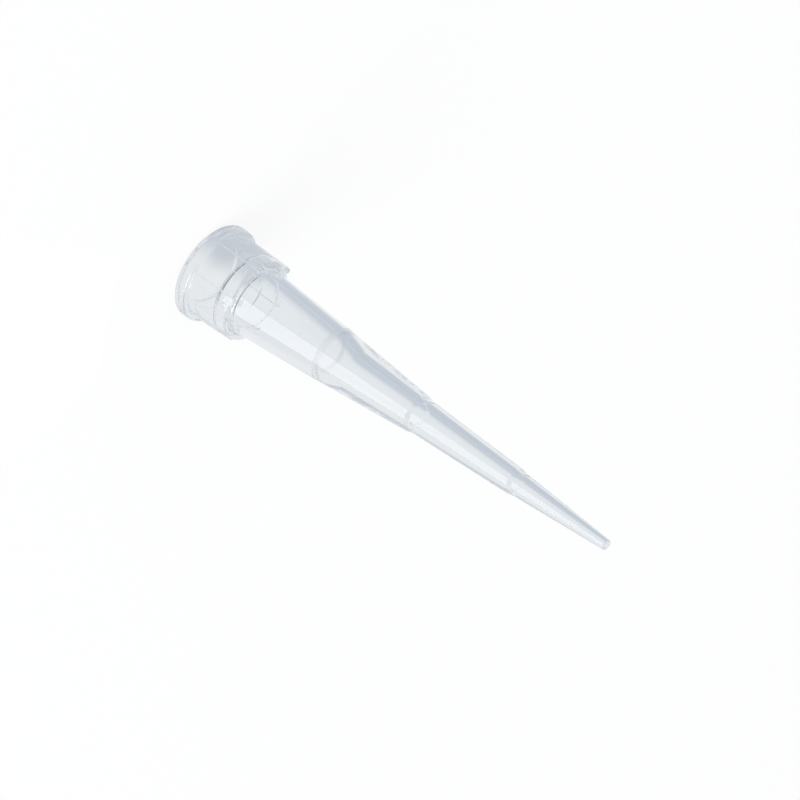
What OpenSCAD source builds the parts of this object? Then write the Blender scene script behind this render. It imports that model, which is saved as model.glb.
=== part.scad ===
// Pipette tip of the 10 microlitre size, moulded in one piece from clear polypropylene.
// Millimetres. The tip stands on its wide end: +Z runs along its axis towards the narrow
// end, and the origin is the centre of the wide end's face.

/* [Overall] */
// Height from the wide end's face to the narrow end
total_length = 31.8; // [27:0.1:40]
// Diameter of the land that grips the nose of the pipette
seat_d = 3.7; // [3:0.05:4.6]

/* [Socket] */
// Depth of the seal shoulder below the wide end's face
seal_depth = 2.58; // [1.6:0.01:2.8]
// Step from the socket's wall in to the gripping land
seal_step = 0.2; // [0.1:0.01:0.3]
// Radius that leads over the seal shoulder, at most nearly the whole step
seal_round = 0.18; // [0.05:0.01:0.2]
// Draft of the socket's wall, on the radius
socket_draft = 0.05; // [0:0.01:0.15]
// Lead-in bevel at the mouth
mouth_bevel = 0.08; // [0.02:0.01:0.2]
// Depth at which the shoulder that stops the pipette's nose ends
stop_depth = 3.74; // [3.5:0.02:4.6]
// Length of that shoulder's slope
stop_slope = 0.12; // [0.04:0.01:0.3]
// Step from the land in to the chamber
stop_step = 0.13; // [0.03:0.01:0.25]

/* [Collar and flange] */
// Thickness of the collar's wall next to the flange
collar_wall = 0.58; // [0.4:0.01:0.8]
// Draft of the collar, on the radius
collar_draft = 0.06; // [0:0.01:0.12]
// Distance from the wide end's face to the collar's end face
collar_length = 3.7; // [3:0.05:3.85]
// Radius on the collar's end edge
collar_edge = 0.12; // [0.02:0.01:0.2]
// Radius between the collar's end face and the shank, at most what the face has room for
shank_fillet = 0.32; // [0.05:0.01:0.5]
// How far the flange stands out from the collar
flange_overhang = 0.37; // [0.25:0.01:0.8]
// Thickness of the flange
flange_thickness = 0.78; // [0.5:0.01:1.2]
// Radius on both edges of the flange
flange_edge = 0.15; // [0.02:0.01:0.2]
// Radius between the flange and the collar
flange_fillet = 0.1; // [0.02:0.01:0.2]

/* [Ribs] */
// Number of ribs round the collar
rib_count = 6; // [3:1:12]
// Width of a rib
rib_width = 0.53; // [0.3:0.01:0.9]
// How far a rib stands out from the collar
rib_height = 0.09; // [0.04:0.01:0.2]
// How far each rib runs on past the collar's end face, as a tooth
tooth_length = 0.3; // [0.1:0.01:0.5]
// Radial thickness of a tooth
tooth_thickness = 0.26; // [0.15:0.01:0.4]
// Bevel round the outer end of a tooth
tooth_bevel = 0.05; // [0.01:0.01:0.1]

/* [Bore] */
// Height at which the chamber narrows into the channel
chamber_end = 9.75; // [7:0.05:10.5]
// Diameter of the chamber where it starts to narrow
chamber_end_d = 2.5; // [2:0.05:3]
// Height at which the narrow channel begins
channel_start = 11.7; // [10.8:0.05:14]
// Diameter of the channel where it begins
channel_d = 1.62; // [1.1:0.02:1.95]
// Diameter of the hole at the narrow end
orifice_d = 0.42; // [0.3:0.01:0.6]

/* [Shank and volume marks] */
// Wall of the shank at the stop shoulder
stop_wall = 0.42; // [0.3:0.01:0.6]
// Height of the first mark, a bevelled band
mark_1_height = 9.92; // [8:0.02:12]
// Length of the first mark's bevel
mark_1_length = 0.22; // [0.1:0.01:0.4]
// Wall of the shank at the first mark
mark_1_wall = 0.552; // [0.3:0.001:0.7]
// Drop in radius over the first mark
mark_1_drop = 0.027; // [0.01:0.001:0.06]
// Height of the second mark, a stepped shoulder
mark_2_height = 16.78; // [13:0.02:20.2]
// Length of the second mark's shoulder
mark_2_length = 0.28; // [0.1:0.01:0.4]
// Wall of the shank at the second mark
mark_2_wall = 0.538; // [0.35:0.001:0.7]
// Drop in radius over the second mark
mark_2_drop = 0.096; // [0.03:0.001:0.15]
// Height of the third mark, a stepped shoulder
mark_3_height = 24.58; // [21:0.02:26]
// Length of the third mark's shoulder
mark_3_length = 0.28; // [0.1:0.01:0.4]
// Wall of the shank at the third mark
mark_3_wall = 0.409; // [0.25:0.001:0.5]
// Drop in radius over the third mark
mark_3_drop = 0.078; // [0.03:0.001:0.12]
// Wall round the hole at the narrow end
orifice_wall = 0.125; // [0.08:0.005:0.2]
// Radius on the rim of the narrow end
orifice_edge = 0.07; // [0.02:0.01:0.07]

/* [Hidden] */

$fn = 96;
cut = 0.2;          // cutting shapes run this far past what they cut
overlap = 0.1;      // ribs are sunk this far into the flange and collar

seat_r = seat_d / 2;
socket_r = seat_r + seal_step;
entry_r = socket_r + socket_draft;
mouth_r = entry_r + mouth_bevel;
land_end = stop_depth - stop_slope;

// The bore as [height, radius], from the stop shoulder to the narrow end.
bore = [
    [stop_depth, seat_r - stop_step],
    [chamber_end, chamber_end_d / 2],
    [channel_start, channel_d / 2],
    [total_length, orifice_d / 2]
];

collar_base_r = entry_r + collar_wall;
collar_end_r = collar_base_r - collar_draft;
flange_r = collar_base_r + flange_overhang;
rib_base_r = collar_base_r + rib_height;
rib_end_r = collar_end_r + rib_height;
rib_inner_r = rib_end_r - tooth_thickness;
rib_end = collar_length + tooth_length;

// The shank's outside as [height, radius]: the wall added to the bore at each mark.
shank = [
    [stop_depth, bore[0][1] + stop_wall],
    [mark_1_height, lookup(mark_1_height, bore) + mark_1_wall],
    [mark_1_height + mark_1_length, lookup(mark_1_height, bore) + mark_1_wall - mark_1_drop],
    [mark_2_height, lookup(mark_2_height, bore) + mark_2_wall],
    [mark_2_height + mark_2_length, lookup(mark_2_height, bore) + mark_2_wall - mark_2_drop],
    [mark_3_height, lookup(mark_3_height, bore) + mark_3_wall],
    [mark_3_height + mark_3_length, lookup(mark_3_height, bore) + mark_3_wall - mark_3_drop],
    [total_length, orifice_d / 2 + orifice_wall]
];

// Radius at height z on the straight line through stations a and b.
function on_line(a, b, z) = a[1] + (b[1] - a[1]) * (z - a[0]) / (b[0] - a[0]);

shank_root_r = on_line(shank[0], shank[1], collar_length);

// The two radii that their walls limit.
seal_arc_r = min(seal_round, 0.95 * seal_step);
root_arc_r = min(shank_fillet, collar_end_r - shank_root_r - collar_edge);

// A [height, radius] station as a point of the half section.
function point(station) = [station[1], station[0]];

function unit(v) = v / norm(v);

// The patch between a corner at p, whose edges run towards a and b, and the arc that
// blends them. It is taken off a convex corner and added to a hollow one.
module corner_patch(p, a, b, radius) {
    u = unit(a - p);
    w = unit(b - p);
    middle = unit(u + w);
    half_angle = acos(u * w) / 2;
    run = radius / tan(half_angle);
    centre = p + middle * radius / sin(half_angle);
    difference() {
        polygon([p - middle * radius / 2, p + u * run, centre, p + w * run]);
        translate(centre)
            circle(r = radius);
    }
}

// Half section of everything outside the bore, filled in to the axis.
module outside_section() {
    face_edge = [flange_r, 0];
    flange_top = [flange_r, flange_thickness];
    collar_base = [collar_base_r, flange_thickness];
    collar_end = [collar_end_r, collar_length];
    shank_root = [shank_root_r, collar_length];
    rim = point(shank[7]);
    difference() {
        union() {
            polygon(concat(
                [[0, 0], face_edge, flange_top, collar_base, collar_end, shank_root],
                [for (i = [1:7]) point(shank[i])],
                [[0, total_length]]
            ));
            corner_patch(collar_base, flange_top, collar_end, flange_fillet);
            corner_patch(shank_root, collar_end, point(shank[1]), root_arc_r);
        }
        corner_patch(face_edge, [0, 0], flange_top, flange_edge);
        corner_patch(flange_top, face_edge, collar_base, flange_edge);
        corner_patch(collar_end, collar_base, shank_root, collar_edge);
        corner_patch(rim, point(shank[6]), [0, total_length], orifice_edge);
    }
}

// Half section of the bore: socket, seal shoulder, land, stop shoulder, chamber and channel.
module bore_section() {
    seal_edge = [seat_r, seal_depth];
    land_end_point = [seat_r, land_end];
    seal_outer = [socket_r, seal_depth];
    polygon(concat(
        [[0, -cut], [mouth_r + cut, -cut], [mouth_r, 0], [entry_r, mouth_bevel]],
        [seal_outer, seal_edge, land_end_point],
        [for (station = bore) point(station)],
        [[orifice_d / 2, total_length + cut], [0, total_length + cut]]
    ));
    corner_patch(seal_edge, seal_outer, land_end_point, seal_arc_r);
}

// Half section of the ring that the ribs are cut from.
module rib_section() {
    root = flange_thickness - overlap;
    polygon([
        [rib_inner_r, root],
        [rib_base_r, root],
        [rib_base_r, flange_thickness],
        [rib_end_r, rib_end - tooth_bevel],
        [rib_end_r - tooth_bevel, rib_end],
        [rib_inner_r, rib_end]
    ]);
}

// Rib number i: the part of the ring that lies in one radial slab.
module rib(i) {
    intersection() {
        rotate_extrude()
            rib_section();
        rotate(i * 360 / rib_count)
            translate([rib_inner_r - cut, -rib_width / 2, 0])
                cube([flange_r - rib_inner_r, rib_width, rib_end + cut]);
    }
}

// The turned body with the first count ribs, joined on one after another.
module ribbed_body(count) {
    if (count == 0)
        rotate_extrude()
            difference() {
                outside_section();
                bore_section();
            }
    else
        union() {
            ribbed_body(count - 1);
            rib(count - 1);
        }
}

module pipette_tip() {
    color([0.87, 0.89, 0.91, 0.6])
        ribbed_body(rib_count);
}

pipette_tip();
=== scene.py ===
"""A clear pipette tip, standing on its wide end on a pale floor in soft studio light.

The tip is one moulding. Its half section is drawn as rows of points, and each row has the
move that it makes through a rib. A node tree turns the section round Z, over the stations
of one rib and one gap, as many times as there are ribs.
"""

import math

import bpy
from mathutils import Matrix, Vector


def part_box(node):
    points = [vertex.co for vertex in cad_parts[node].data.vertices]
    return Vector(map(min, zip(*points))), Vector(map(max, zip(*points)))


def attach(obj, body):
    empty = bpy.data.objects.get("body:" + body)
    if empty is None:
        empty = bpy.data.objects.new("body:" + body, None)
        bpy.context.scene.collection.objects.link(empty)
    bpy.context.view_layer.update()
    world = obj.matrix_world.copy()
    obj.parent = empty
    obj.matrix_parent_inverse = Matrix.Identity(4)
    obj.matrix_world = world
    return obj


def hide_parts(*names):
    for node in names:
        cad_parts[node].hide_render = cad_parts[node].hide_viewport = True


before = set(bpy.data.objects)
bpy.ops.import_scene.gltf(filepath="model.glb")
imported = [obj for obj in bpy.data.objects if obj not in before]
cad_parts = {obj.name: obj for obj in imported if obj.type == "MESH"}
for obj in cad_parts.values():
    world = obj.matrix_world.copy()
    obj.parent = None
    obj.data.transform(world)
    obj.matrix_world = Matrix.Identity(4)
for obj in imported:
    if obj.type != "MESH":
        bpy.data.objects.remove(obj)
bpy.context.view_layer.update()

MM = 0.001

# ------------------------------------------------- sizes in millimetres, as (radius, height)

TOTAL_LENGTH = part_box("pipette_tip")[1].z / MM

MOUTH_R = 2.18
ENTRY = (2.10, 0.08)
SEAL_OUTER = (2.05, 2.58)
SEAL_EDGE = (1.85, 2.58)
LAND_END = (1.85, 3.68)      # the CAD's land ends at 3.62: the steeper shoulder shows better
STOP_END = (1.72, 3.74)
CHAMBER_END = (1.25, 9.75)
CHANNEL_START = (0.81, 11.7)
ORIFICE_R = 0.21
SEAL_ROUND = 0.18
BORE_EDGE = 0.04
ORIFICE_EDGE = 0.02

FLANGE_R = 3.05
FLANGE_THICKNESS = 0.78
FLANGE_EDGE = 0.15
FLANGE_FILLET = 0.1
COLLAR_BASE = (2.68, 0.78)
COLLAR_END = (2.62, 3.7)
COLLAR_EDGE = 0.12

SHANK_ROOT = (2.142, 3.7)
SHANK_FILLET = 0.32
MARK_1 = ((1.764, 9.92), (1.737, 10.14))
MARK_2 = ((1.196, 16.78), (1.1, 17.06))
MARK_3 = ((0.834, 24.58), (0.756, 24.86))
MARK_EDGE = 0.06
NARROW_END_R = 0.335
NARROW_END_EDGE = 0.07

RIB_COUNT = 6
RIB_WIDTH = 0.53
RIB_HEIGHT = 0.09
RIB_EDGE = 0.04
RIB_FOOT = 0.03
TOOTH_LENGTH = 0.3
TOOTH_THICKNESS = 0.26
TOOTH_EDGE = 0.05

HOLD = 0.012                 # a row this far from each rounded edge keeps the flat beside it flat

# Steps in the arcs, and stations in the gap between two ribs
EDGE_STEPS = 8
SMALL_EDGE_STEPS = 4
BORE_STEPS = 6
SHANK_FILLET_STEPS = 12
RIB_EDGE_STEPS = 5
GAP_STATIONS = 24
GAP_START = 0.04             # share of the gap that is left to the foot of the rib on each side


# ------------------------------------------------------------------ half section of the tip

def rounded(before, corner, after, radius, steps=EDGE_STEPS):
    """Points of the arc that rounds a corner, with one holding point on each side of it."""
    p, a, b = Vector(corner), Vector(before), Vector(after)
    u, w = (a - p).normalized(), (b - p).normalized()
    half = math.acos(max(-1.0, min(1.0, u.dot(w)))) / 2
    run = radius / math.tan(half)
    centre = p + (u + w).normalized() * radius / math.sin(half)
    start, end = p + u * run - centre, p + w * run - centre
    turn = -start.angle_signed(end) / steps
    arc = [centre + Matrix.Rotation(turn * k, 2) @ start for k in range(steps + 1)]
    return [p + u * (run + HOLD), *arc, p + w * (run + HOLD)]


def tip_section():
    """Rows of the closed section, from the mouth outwards and back down the bore.

    Each row is (radius, height, outward move through a rib, upward move through a rib)."""
    rows = []

    def plain(points):
        rows.extend((p[0], p[1], 0.0, 0.0) for p in points)

    def through_rib(points, moved):
        rows.extend((p[0], p[1], q[0] - p[0], q[1] - p[1]) for p, q in zip(points, moved))

    mouth = (MOUTH_R, 0.0)
    face_edge = (FLANGE_R, 0.0)
    flange_top = (FLANGE_R, FLANGE_THICKNESS)
    plain(rounded(ENTRY, mouth, face_edge, BORE_EDGE, SMALL_EDGE_STEPS))
    plain(rounded(mouth, face_edge, flange_top, FLANGE_EDGE))
    plain(rounded(face_edge, flange_top, COLLAR_BASE, FLANGE_EDGE))

    fillet = rounded(flange_top, COLLAR_BASE, COLLAR_END, FLANGE_FILLET)
    through_rib(fillet, [p + Vector((RIB_HEIGHT, 0.0)) for p in fillet])

    rib_base = (COLLAR_BASE[0] + RIB_HEIGHT, COLLAR_BASE[1])
    rib_end_r = COLLAR_END[0] + RIB_HEIGHT
    tooth_outer = (rib_end_r, COLLAR_END[1] + TOOTH_LENGTH)
    tooth_inner = (rib_end_r - TOOTH_THICKNESS, COLLAR_END[1] + TOOTH_LENGTH)
    tooth_foot = (tooth_inner[0], COLLAR_END[1])
    edge = rounded(COLLAR_BASE, COLLAR_END, SHANK_ROOT, COLLAR_EDGE)
    through_rib(edge, rounded(rib_base, tooth_outer, tooth_inner, TOOTH_EDGE))
    inner = rounded(tooth_outer, tooth_inner, tooth_foot, TOOTH_EDGE, SMALL_EDGE_STEPS)
    inner += rounded(tooth_inner, tooth_foot, SHANK_ROOT, TOOTH_EDGE, SMALL_EDGE_STEPS)
    first, last = edge[-1][0], inner[-1].x
    flat = [(first + (last - first) * (k + 1) / len(inner), COLLAR_END[1]) for k in range(len(inner))]
    through_rib(flat, inner)

    shank = [SHANK_ROOT, *MARK_1, *MARK_2, *MARK_3]
    narrow_end = (NARROW_END_R, TOTAL_LENGTH)
    orifice = (ORIFICE_R, TOTAL_LENGTH)
    root = rounded(COLLAR_END, SHANK_ROOT, MARK_1[0], SHANK_FILLET, SHANK_FILLET_STEPS)
    plain(p for p in root if p[0] < last)
    for before, corner, after in zip(shank, shank[1:], [*shank[2:], narrow_end]):
        plain(rounded(before, corner, after, MARK_EDGE, SMALL_EDGE_STEPS))
    plain(rounded(MARK_3[1], narrow_end, orifice, NARROW_END_EDGE))
    plain(rounded(narrow_end, orifice, CHANNEL_START, ORIFICE_EDGE, SMALL_EDGE_STEPS))

    bore = [orifice, CHANNEL_START, CHAMBER_END, STOP_END, LAND_END, SEAL_EDGE, SEAL_OUTER, ENTRY]
    for before, corner, after in zip(bore, bore[1:], [*bore[2:], mouth]):
        radius = SEAL_ROUND if corner == SEAL_EDGE else BORE_EDGE
        plain(rounded(before, corner, after, radius, BORE_STEPS))
    return rows


def sector_stations():
    """Stations over one rib and the gap after it.

    Each is (side, gap, rise): side runs from -1 to 1 across the rib, gap from 0 to 1 over
    the gap, and rise is how much of the rib's move a row makes there."""
    half_width = RIB_WIDTH / 2
    edge, foot, hold = RIB_EDGE / half_width, RIB_FOOT / half_width, HOLD / half_width
    drop, lift = RIB_EDGE / RIB_HEIGHT, RIB_FOOT / RIB_HEIGHT
    turns = [math.pi / 2 * k / RIB_EDGE_STEPS for k in range(RIB_EDGE_STEPS + 1)]
    wall = [(1.0 + foot + hold, 0.0)]
    wall += [(1.0 + foot * (1 - math.sin(a)), lift * (1 - math.cos(a))) for a in turns]
    wall += [(1.0 - edge * (1 - math.cos(a)), 1.0 - drop * (1 - math.sin(a))) for a in turns]
    wall.append((1.0 - edge - hold, 1.0))
    rib = [(-side, 0.0, rise) for side, rise in wall]
    rib += [(side, 0.0, 1.0) for side in (-0.5, 0.0, 0.5)]
    rib += [(side, 0.0, rise) for side, rise in reversed(wall)]
    length = 1 - 2 * GAP_START
    gap = [(1.0, GAP_START + length * k / GAP_STATIONS, 0.0) for k in range(GAP_STATIONS + 1)]
    return rib + gap


# -------------------------------------------------------------------------- small helpers

def linear(hex_colour):
    """An sRGB hex colour as linear RGBA."""
    channels = [int(hex_colour[k:k + 2], 16) / 255 for k in (1, 3, 5)]
    return tuple(c / 12.92 if c <= 0.04045 else ((c + 0.055) / 1.055) ** 2.4 for c in channels) + (1.0,)


def add(tree, kind, inputs=(), **settings):
    """Adds a node with its settings and links.

    Inputs are a row in the node's own order, or are given by name. Each is a value, a socket
    or a node, which stands for its first output."""
    node = tree.nodes.new(kind)
    for name, value in settings.items():
        setattr(node, name, value)
    for key, value in inputs.items() if isinstance(inputs, dict) else enumerate(inputs):
        if isinstance(value, bpy.types.Node):
            value = value.outputs[0]
        if isinstance(value, bpy.types.NodeSocket):
            tree.links.new(value, node.inputs[key])
        else:
            node.inputs[key].default_value = value
    return node


def where(tree, *ramps):
    """The product of smooth ramps. Each is a value, with where its ramp is at 0 and at 1."""
    share = 1.0
    for value, (none, full) in ramps:
        ramp = add(tree, "ShaderNodeMapRange", {"Value": value, "From Min": none, "From Max": full},
                   interpolation_type="SMOOTHSTEP")
        share = add(tree, "ShaderNodeMath", (share, ramp), operation="MULTIPLY")
    return share


def point_mesh(name, points):
    """A mesh of loose points, as an object that only a node tree reads."""
    mesh = bpy.data.meshes.new(name)
    mesh.from_pydata(points, [], [])
    return bpy.data.objects.new(name, mesh)


# ------------------------------------------------------------- node tree that turns the tip

MERGE_DISTANCE = 1e-7        # metres: joins the grid's last row and column to its first


def turning_tree():
    """Turns a section round Z over the stations of its sectors, and lifts the ribs out of it."""
    tree = bpy.data.node_groups.new("turned_section_with_ribs", "GeometryNodeTree")
    sockets = tree.interface
    sockets.new_socket("Section", in_out="INPUT", socket_type="NodeSocketGeometry")
    for name, kind in (
        ("Stations", "NodeSocketObject"),
        ("Rib count", "NodeSocketInt"),
        ("Rib width", "NodeSocketFloat"),
        ("Least reach", "NodeSocketFloat"),
        ("Material", "NodeSocketMaterial"),
    ):
        sockets.new_socket(name, in_out="INPUT", socket_type=kind)
    sockets.new_socket("Mesh", in_out="OUTPUT", socket_type="NodeSocketGeometry")
    given = add(tree, "NodeGroupInput").outputs
    section = given["Section"]
    stations = add(tree, "GeometryNodeObjectInfo", {"Object": given["Stations"]}).outputs["Geometry"]

    # A grid with a column for each station all the way round, and a row for each section point.
    section_size = add(tree, "GeometryNodeAttributeDomainSize", {"Geometry": section})
    stations_size = add(tree, "GeometryNodeAttributeDomainSize", {"Geometry": stations})
    row_count = section_size.outputs["Point Count"]
    station_count = stations_size.outputs["Point Count"]
    around = add(tree, "ShaderNodeMath", (station_count, given["Rib count"]), operation="MULTIPLY")
    grid_columns = add(tree, "ShaderNodeMath", (around, 1.0), operation="ADD")
    grid_rows = add(tree, "ShaderNodeMath", (row_count, 1.0), operation="ADD")
    grid = add(tree, "GeometryNodeMeshGrid", {"Vertices X": grid_columns, "Vertices Y": grid_rows})

    # The row, station and sector of each grid point. The halves keep rounding out of the floors.
    index = add(tree, "GeometryNodeInputIndex")
    index_in_column = add(tree, "ShaderNodeMath", (index, grid_rows), operation="MODULO")
    row = add(tree, "ShaderNodeMath", (index_in_column, row_count), operation="MODULO")
    middle_of_point = add(tree, "ShaderNodeMath", (index, 0.5), operation="ADD")
    columns = add(tree, "ShaderNodeMath", (middle_of_point, grid_rows), operation="DIVIDE")
    column = add(tree, "ShaderNodeMath", (columns,), operation="FLOOR")
    station = add(tree, "ShaderNodeMath", (column, station_count), operation="MODULO")
    middle_of_column = add(tree, "ShaderNodeMath", (column, 0.5), operation="ADD")
    sectors = add(tree, "ShaderNodeMath", (middle_of_column, station_count), operation="DIVIDE")
    sector = add(tree, "ShaderNodeMath", (sectors,), operation="FLOOR")

    position = add(tree, "GeometryNodeInputPosition")
    rib_move = add(tree, "GeometryNodeInputNamedAttribute", {"Name": "rib_move"}, data_type="FLOAT_VECTOR")
    section_point, section_move, station_point = [
        add(tree, "GeometryNodeSampleIndex", {"Geometry": source, "Value": value, "Index": at},
            data_type="FLOAT_VECTOR")
        for source, value, at in (
            (section, position, row),
            (section, rib_move, row),
            (stations, position, station),
        )
    ]
    side, gap, rise = add(tree, "ShaderNodeSeparateXYZ", (station_point,)).outputs
    moved = add(tree, "ShaderNodeVectorMath", (section_move, rise, section_point), operation="MULTIPLY_ADD")
    radius, _, height = add(tree, "ShaderNodeSeparateXYZ", (moved,)).outputs

    # A rib has one width from foot to top, and the gap takes what is left of the sector.
    half_width = add(tree, "ShaderNodeMath", (given["Rib width"], 0.5), operation="MULTIPLY")
    reach = add(tree, "ShaderNodeMath", (radius, given["Least reach"]), operation="MAXIMUM")
    slope = add(tree, "ShaderNodeMath", (half_width, reach), operation="DIVIDE")
    half_rib_angle = add(tree, "ShaderNodeMath", (slope,), operation="ARCSINE")
    rib_angle = add(tree, "ShaderNodeMath", (half_rib_angle, 2.0), operation="MULTIPLY")
    sector_angle = add(tree, "ShaderNodeMath", (2 * math.pi, given["Rib count"]), operation="DIVIDE")
    gap_angle = add(tree, "ShaderNodeMath", (sector_angle, rib_angle), operation="SUBTRACT")
    side_slope = add(tree, "ShaderNodeMath", (side, slope), operation="MULTIPLY")
    across_rib = add(tree, "ShaderNodeMath", (side_slope,), operation="ARCSINE")
    in_sector = add(tree, "ShaderNodeMath", (gap, gap_angle, across_rib), operation="MULTIPLY_ADD")
    angle = add(tree, "ShaderNodeMath", (sector, sector_angle, in_sector), operation="MULTIPLY_ADD")
    cosine = add(tree, "ShaderNodeMath", (angle,), operation="COSINE")
    sine = add(tree, "ShaderNodeMath", (angle,), operation="SINE")
    x = add(tree, "ShaderNodeMath", (radius, cosine), operation="MULTIPLY")
    y = add(tree, "ShaderNodeMath", (radius, sine), operation="MULTIPLY")
    place = add(tree, "ShaderNodeCombineXYZ", (x, y, height))

    turned = add(tree, "GeometryNodeSetPosition", {"Geometry": grid, "Position": place})
    closed = add(tree, "GeometryNodeMergeByDistance", {"Geometry": turned, "Distance": MERGE_DISTANCE})
    smooth = add(tree, "GeometryNodeSetShadeSmooth", {"Geometry": closed})
    real = add(tree, "GeometryNodeRealizeInstances", {"Geometry": smooth})
    finished = add(tree, "GeometryNodeSetMaterial", {"Geometry": real, "Material": given["Material"]})
    add(tree, "NodeGroupOutput", {"Mesh": finished})
    return tree


def made_by_nodes(holder, tree, values, name):
    """The plain mesh that a node tree makes on an object, as a new object."""
    bpy.context.scene.collection.objects.link(holder)
    modifier = holder.modifiers.new(tree.name, "NODES")
    modifier.node_group = tree
    for item in tree.interface.items_tree:
        if item.in_out == "INPUT" and item.name in values:
            modifier[item.identifier] = values[item.name]
    holder.update_tag()
    bpy.context.view_layer.update()
    evaluated = holder.evaluated_get(bpy.context.evaluated_depsgraph_get())
    mesh = bpy.data.meshes.new_from_object(evaluated)
    holder.modifiers.remove(modifier)
    bpy.data.objects.remove(holder)
    mesh.name = name
    made = bpy.data.objects.new(name, mesh)
    bpy.context.scene.collection.objects.link(made)
    return made


# ------------------------------------------------------------------------------ materials

TINT_IN_STREAKS = "#fefeff"
TINT_BETWEEN = "#fafcfd"
STREAK_WIDTH = 0.67          # millimetres
STREAK_SQUEEZE = 0.06        # a streak's width as a share of its length
STREAK_DETAIL = 3.0
POLISHED_ROUGHNESS = 0.01
STREAK_ROUGHNESS = 0.02      # the streaks add up to this much
ERODED_ROUGHNESS = 0.33      # the first mark's bevel adds this much
ERODED_EDGE = 0.02           # millimetres that this fades over, on each side of the bevel's ends
POLYPROPYLENE_IOR = 1.49


def new_material(name):
    """A material with an empty node tree, and that tree."""
    material = bpy.data.materials.new(name)
    material.use_nodes = True
    material.node_tree.nodes.clear()
    return material, material.node_tree


def clear_polypropylene():
    """Clear polypropylene, injection moulded in a polished tool.

    The eye sees long faint flow streaks in its gloss and tint, and the first mark as a matt
    band, because its bevel is spark-eroded in the tool and not polished."""
    material, tree = new_material("clear_polypropylene")
    place = add(tree, "ShaderNodeTexCoord").outputs["Object"]
    flow = add(tree, "ShaderNodeMapping", {"Vector": place, "Scale": (1.0, 1.0, STREAK_SQUEEZE)})
    streaks = add(tree, "ShaderNodeTexNoise", {
        "Vector": flow,
        "Scale": 1.0 / (STREAK_WIDTH * MM),
        "Detail": STREAK_DETAIL,
    })
    tint = add(tree, "ShaderNodeMix", {
        "Factor": streaks,
        "A": linear(TINT_BETWEEN),
        "B": linear(TINT_IN_STREAKS),
    }, data_type="RGBA").outputs["Result"]
    height = add(tree, "ShaderNodeSeparateXYZ", (place,)).outputs["Z"]
    low, high, soft = MARK_1[0][1] * MM, MARK_1[1][1] * MM, ERODED_EDGE * MM
    eroded = where(tree, (height, (low - soft, low + soft)), (height, (high + soft, high - soft)))
    gloss = add(tree, "ShaderNodeMath", (streaks, STREAK_ROUGHNESS, POLISHED_ROUGHNESS),
                operation="MULTIPLY_ADD")
    roughness = add(tree, "ShaderNodeMath", (eroded, ERODED_ROUGHNESS, gloss), operation="MULTIPLY_ADD")
    surface = add(tree, "ShaderNodeBsdfPrincipled", {
        "Base Color": tint,
        "Roughness": roughness,
        "IOR": POLYPROPYLENE_IOR,
        "Transmission Weight": 1.0,
    })
    add(tree, "ShaderNodeOutputMaterial", {"Surface": surface})
    return material


# ------------------------------------------------------------------------------- the tip

def build_tip():
    """The tip as one mesh, which the node tree turns from the half section."""
    rows = tip_section()
    section = point_mesh("tip_section", [(r * MM, 0.0, z * MM) for r, z, _, _ in rows])
    rib_move = section.data.attributes.new("rib_move", "FLOAT_VECTOR", "POINT")
    for item, (_, _, outward, upward) in zip(rib_move.data, rows):
        item.vector = (outward * MM, 0.0, upward * MM)
    stations = point_mesh("sector_stations", sector_stations())
    tip = made_by_nodes(section, turning_tree(), {
        "Stations": stations,
        "Rib count": RIB_COUNT,
        "Rib width": RIB_WIDTH * MM,
        "Least reach": (COLLAR_END[0] - TOOTH_THICKNESS) * MM,
        "Material": clear_polypropylene(),
    }, "moulded_tip")
    bpy.data.objects.remove(stations)
    return tip


tip = build_tip()
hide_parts("pipette_tip")
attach(tip, "root")

# ------------------------------------------------------------------------------- camera

CAMERA_LENS = 562.5
CAMERA_SENSOR = 36.0
CAMERA_CLIP = (0.05, 10.0)
CAMERA_DISTANCE = 0.718
CAMERA_AZIMUTH = math.radians(-79.5)
CAMERA_ELEVATION = math.radians(29.5)
TIP_SLANT = math.radians(-34.8)          # direction in which the tip points in the frame
AIM_HEIGHT = 16.05 * MM
AIM_OFFSET = (-0.49 * MM, 0.42 * MM)     # from the aimed point on the axis to the frame's middle


def direction(azimuth, elevation):
    """The unit vector that points to an azimuth and an elevation, both in radians."""
    flat = math.cos(elevation)
    return Vector((math.cos(azimuth) * flat, math.sin(azimuth) * flat, math.sin(elevation)))


def make_camera():
    """A long lens looking down on the tip, rolled so that the tip lies across the frame."""
    back = direction(CAMERA_AZIMUTH, CAMERA_ELEVATION)
    along = (Vector((0, 0, 1)) - back * back.z).normalized()
    across = back.cross(along)
    right = along * math.cos(TIP_SLANT) - across * math.sin(TIP_SLANT)
    up = along * math.sin(TIP_SLANT) + across * math.cos(TIP_SLANT)
    middle = Vector((0, 0, AIM_HEIGHT)) + right * AIM_OFFSET[0] + up * AIM_OFFSET[1]
    place = Matrix((right, up, back)).transposed().to_4x4()
    place.translation = middle + back * CAMERA_DISTANCE
    data = bpy.data.cameras.new("camera")
    data.lens = CAMERA_LENS
    data.sensor_width = CAMERA_SENSOR
    data.clip_start, data.clip_end = CAMERA_CLIP
    camera = bpy.data.objects.new("camera", data)
    camera.matrix_world = place
    bpy.context.scene.collection.objects.link(camera)
    bpy.context.scene.camera = camera


make_camera()

# ------------------------------------------------------------------------ floor, card of painted shade and light panel

WHITE = "#ffffff"

FLOOR_SIZE = 6.0             # metres
FLOOR_DROP = 0.02 * MM
FLOOR_WHITE = "#f4f4f4"
FLOOR_OWN_SHARE = 0.88       # share of the floor's white that is its own

CARD_TO_THE_SIDE = CAMERA_AZIMUTH + math.pi / 2
CARD_R = 6.5 * MM
CARD_SIDES = 96
# Painted shade: the card glows this grey on one side of the tip, seen only in and through it.
PAINTED_SHADE_GREY = "#c6ccd3"
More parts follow.
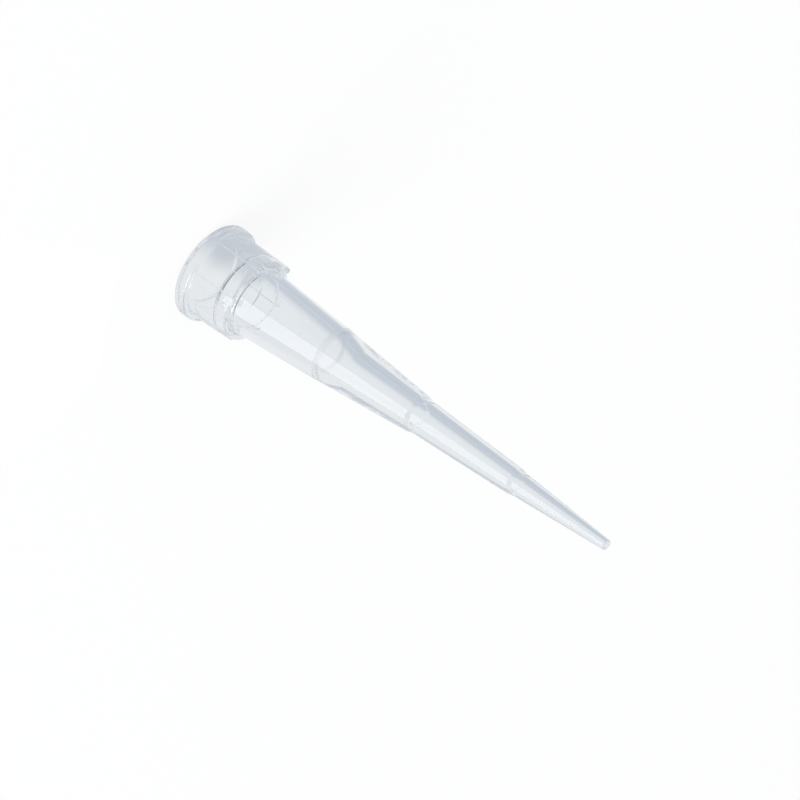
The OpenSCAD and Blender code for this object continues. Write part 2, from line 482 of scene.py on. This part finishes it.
# The card's painted shade fades out over a band, which has this middle line and this half width.
# Each is given beside the axis, with its growth for each metre ahead of the axis or back from it.
PAINTED_SHADE_LINE = (-0.4 * MM, -0.2)
PAINTED_SHADE_BAND = (0.8 * MM, 0.08)

PANEL_REACH = (9.6 * MM, 90 * MM)
PANEL_TURNS = (15, 66)       # degrees from the camera's azimuth
PANEL_STRENGTH = 3.7

TENT_LIGHT = "#e8ebed"
TENT_GREY = "#bfc7d1"
TENT_GAP = "#5a6f86"


def turned_to_the_card(tree, coordinates):
    """Texture coordinates with X to the side of the card of painted shade and Y straight ahead of the
    camera.
    """
    turned = add(tree, "ShaderNodeVectorRotate", {
        "Vector": add(tree, "ShaderNodeTexCoord").outputs[coordinates],
        "Angle": -CARD_TO_THE_SIDE,
    }, rotation_type="Z_AXIS")
    return add(tree, "ShaderNodeSeparateXYZ", (turned,)).outputs


def for_rays(tree, *kinds):
    """1 for rays of any of these kinds, and 0 for the others."""
    path = add(tree, "ShaderNodeLightPath").outputs
    found = 0.0
    for kind in kinds:
        found = add(tree, "ShaderNodeMath", (found, path[kind]), operation="MAXIMUM")
    return found


def floor_material():
    """Matt white card. A part of its white is its own, so that it is even behind the tip."""
    material, tree = new_material("white_card")
    seen = for_rays(tree, "Is Camera Ray", "Is Glossy Ray", "Is Transmission Ray")
    share = add(tree, "ShaderNodeMath", (seen, FLOOR_OWN_SHARE), operation="MULTIPLY")
    card = add(tree, "ShaderNodeBsdfDiffuse", {"Color": linear(FLOOR_WHITE)})
    white = add(tree, "ShaderNodeEmission", {"Color": linear(WHITE), "Strength": 1.0})
    mixed = add(tree, "ShaderNodeMixShader", (share, card, white))
    add(tree, "ShaderNodeOutputMaterial", {"Surface": mixed})
    return material


def painted_shade_card_material():
    """Painted shade: a glowing card, full grey on one side of the tip, fading out across it."""
    material, tree = new_material("graduated_painted_shade_card")
    side, ahead, _ = turned_to_the_card(tree, "Object")
    away = add(tree, "ShaderNodeMath", (ahead,), operation="ABSOLUTE")
    line, band = [
        add(tree, "ShaderNodeMath", (away, growth, beside_the_axis), operation="MULTIPLY_ADD")
        for beside_the_axis, growth in (PAINTED_SHADE_LINE, PAINTED_SHADE_BAND)
    ]
    past_the_line = add(tree, "ShaderNodeMath", (side, line), operation="SUBTRACT")
    across_the_band = add(tree, "ShaderNodeMath", (past_the_line, band), operation="DIVIDE")
    # Painted shade: the card glows grey to one side of the tip and light to the other.
    grey = where(tree, (across_the_band, (1.0, -1.0)))
    light, dark = [
        add(tree, "ShaderNodeEmission", {"Color": linear(colour), "Strength": 1.0})
        for colour in (TENT_LIGHT, PAINTED_SHADE_GREY)
    ]
    mixed = add(tree, "ShaderNodeMixShader", (grey, light, dark))
    add(tree, "ShaderNodeOutputMaterial", {"Surface": mixed})
    return material


def light_panel_material():
    """Opal acrylic, lit from behind: one even, bright white."""
    material, tree = new_material("light_panel")
    glow = add(tree, "ShaderNodeEmission", {"Color": linear(WHITE), "Strength": PANEL_STRENGTH})
    add(tree, "ShaderNodeOutputMaterial", {"Surface": glow})
    return material


def stage_sheet(name, corners, height, material):
    """A flat sheet of the stage, at one height."""
    mesh = bpy.data.meshes.new(name)
    mesh.from_pydata([(x, y, height) for x, y in corners], [], [tuple(range(len(corners)))])
    mesh.materials.append(material)
    sheet = bpy.data.objects.new(name, mesh)
    bpy.context.scene.collection.objects.link(sheet)
    return sheet


def make_floor():
    """The floor. It isn't seen through the tip: the card of painted shade and the tent are."""
    half = FLOOR_SIZE / 2
    corners = [(-half, -half), (half, -half), (half, half), (-half, half)]
    floor = stage_sheet("floor", corners, -FLOOR_DROP, floor_material())
    floor.visible_transmission = False


def make_painted_shade_card():
    """A round glowing card of painted shade under the collar, seen only in the tip and through it."""
    turns = [2 * math.pi * k / CARD_SIDES for k in range(CARD_SIDES)]
    rim = [(CARD_R * math.cos(a), CARD_R * math.sin(a)) for a in turns]
    card = stage_sheet("grey_card", rim, -FLOOR_DROP / 2, painted_shade_card_material())
    card.visible_camera = False
    card.visible_diffuse = False
    card.visible_shadow = False


def make_light_panel():
    """A panel on the floor to one side of the camera, for the highlights on the tip."""
    near, far = PANEL_REACH
    first, last = [CAMERA_AZIMUTH + math.radians(a) for a in PANEL_TURNS]
    corners = [(r * math.cos(a), r * math.sin(a)) for r, a in
               ((near, first), (far, first), (far, last), (near, last))]
    panel = stage_sheet("light_panel", corners, 0.0, light_panel_material())
    panel.visible_camera = False
    panel.visible_transmission = False


# ------------------------------------------------------------------------- tent and light

ROOM_LIGHT = "#dde1e4"
ROOM_STRENGTH = 0.9

# Where the tent is grey and where its gap is, each as (none, full). Ahead and up are shares of
# a direction's unit length, and turn is how far it goes to the side for each part ahead or back.
GREY_IN_FRONT = {"turn": (-0.10, -0.34), "ahead": (-0.2, 0.1)}
GREY_BEHIND = {"turn": (0.10, 0.34), "ahead": (-0.1, -0.4)}
GAP_AHEAD = (0.2, 0.5)
GAP_BOTTOM = (-0.33, -0.2)
GAP_TOP = (0.4, 0.15)
GAP_LEFT = (-0.2, -0.06)
GAP_RIGHT = (0.1, 0.0)
LEAST_AHEAD = 0.05           # keeps the division by the part ahead in bounds

# Degrees, metres and watts
KEY_LIGHT = {"azimuth": 60, "elevation": 45, "distance": 0.5, "size": 0.3, "power": 1.5}
MOST_BOUNCES = 128


def make_world():
    """A light tent. The camera sees it white, and it lights the floor evenly.

    In the tip and through it, it is grey to one side, as the card of painted shade is, and again
    to the other side in its back half. It is dark in a small patch straight ahead, where the tent's
    sheet ends."""
    world = bpy.data.worlds.new("studio")
    world.use_nodes = True
    tree = world.node_tree
    tree.nodes.clear()

    side, ahead, up = turned_to_the_card(tree, "Generated")
    away = add(tree, "ShaderNodeMath", (ahead,), operation="ABSOLUTE")
    away = add(tree, "ShaderNodeMath", (away, LEAST_AHEAD), operation="MAXIMUM")
    turn = add(tree, "ShaderNodeMath", (side, away), operation="DIVIDE")
    in_front, behind = [
        where(tree, (turn, limits["turn"]), (ahead, limits["ahead"]))
        for limits in (GREY_IN_FRONT, GREY_BEHIND)
    ]
    grey = add(tree, "ShaderNodeMath", (in_front, behind), operation="MAXIMUM")
    gap = where(tree, (ahead, GAP_AHEAD), (up, GAP_BOTTOM), (up, GAP_TOP),
                (turn, GAP_LEFT), (turn, GAP_RIGHT))

    tent_light, tent_grey, tent_gap, room, white = [
        add(tree, "ShaderNodeBackground", {"Color": linear(colour), "Strength": strength})
        for colour, strength in (
            (TENT_LIGHT, 1.0),
            (TENT_GREY, 1.0),
            (TENT_GAP, 1.0),
            (ROOM_LIGHT, ROOM_STRENGTH),
            (WHITE, 1.0),
        )
    ]
    tent = add(tree, "ShaderNodeMixShader", (grey, tent_light, tent_grey))
    tent = add(tree, "ShaderNodeMixShader", (gap, tent, tent_gap))
    by_the_tip = for_rays(tree, "Is Glossy Ray", "Is Transmission Ray")
    lit = add(tree, "ShaderNodeMixShader", (by_the_tip, room, tent))
    by_the_camera = for_rays(tree, "Is Camera Ray")
    seen = add(tree, "ShaderNodeMixShader", (by_the_camera, lit, white))
    add(tree, "ShaderNodeOutputWorld", {"Surface": seen})
    bpy.context.scene.world = world


def make_key_light(azimuth, elevation, distance, size, power):
    """A square soft box aimed at the tip's middle. Its azimuth is counted from the camera's.

    It isn't seen through the tip, where it would only sparkle."""
    back = direction(CAMERA_AZIMUTH + math.radians(azimuth), math.radians(elevation))
    data = bpy.data.lights.new("key", "AREA")
    data.shape = "SQUARE"
    data.size = size
    data.energy = power
    light = bpy.data.objects.new("key", data)
    light.location = Vector((0, 0, AIM_HEIGHT)) + back * distance
    light.rotation_mode = "QUATERNION"
    light.rotation_quaternion = back.to_track_quat("Z", "Y")
    light.visible_transmission = False
    bpy.context.scene.collection.objects.link(light)


def let_light_through_the_walls():
    """Light crosses the clear walls many times before it leaves them."""
    cycles = bpy.context.scene.cycles
    cycles.max_bounces = MOST_BOUNCES
    cycles.glossy_bounces = MOST_BOUNCES
    cycles.transmission_bounces = MOST_BOUNCES


make_floor()
make_painted_shade_card()
make_light_panel()
make_world()
make_key_light(**KEY_LIGHT)
let_light_through_the_walls()

bpy.context.scene.view_settings.view_transform = "Standard"
